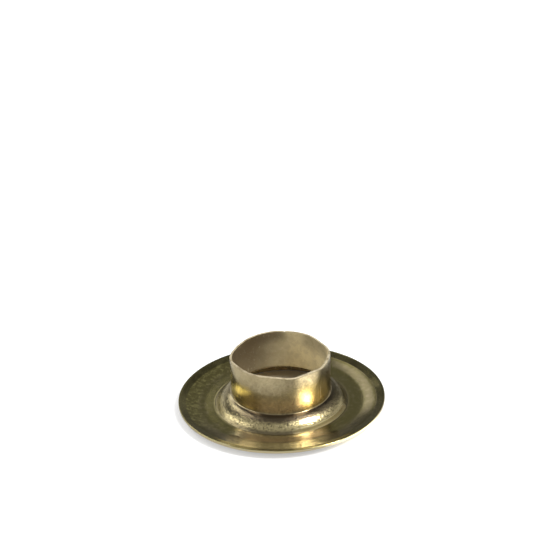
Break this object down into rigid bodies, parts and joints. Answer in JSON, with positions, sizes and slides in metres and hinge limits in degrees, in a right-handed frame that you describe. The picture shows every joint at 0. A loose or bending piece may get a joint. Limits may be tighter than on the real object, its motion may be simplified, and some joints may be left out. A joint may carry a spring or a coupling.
{
  "type": "canvas eyelet",
  "caption": "Drawn brass eyelet for canvas: a tall thin barrel rising from a flange with a rounded crest and a turned-up lip.",
  "frame": {"origin": "on the axis of the bore, in the plane that the crest of the face rests on", "axes": "+Z along the bore axis, from the face up through the barrel to its mouth"},
  "size_m": [0.0206, 0.0206, 0.0055],
  "materials": {
    "brass": "satin, softly grained where the sheet is stretched"
  },
  "bodies": {
    "root": {"eyelet": "brass"}
  },
  "joints": []
}
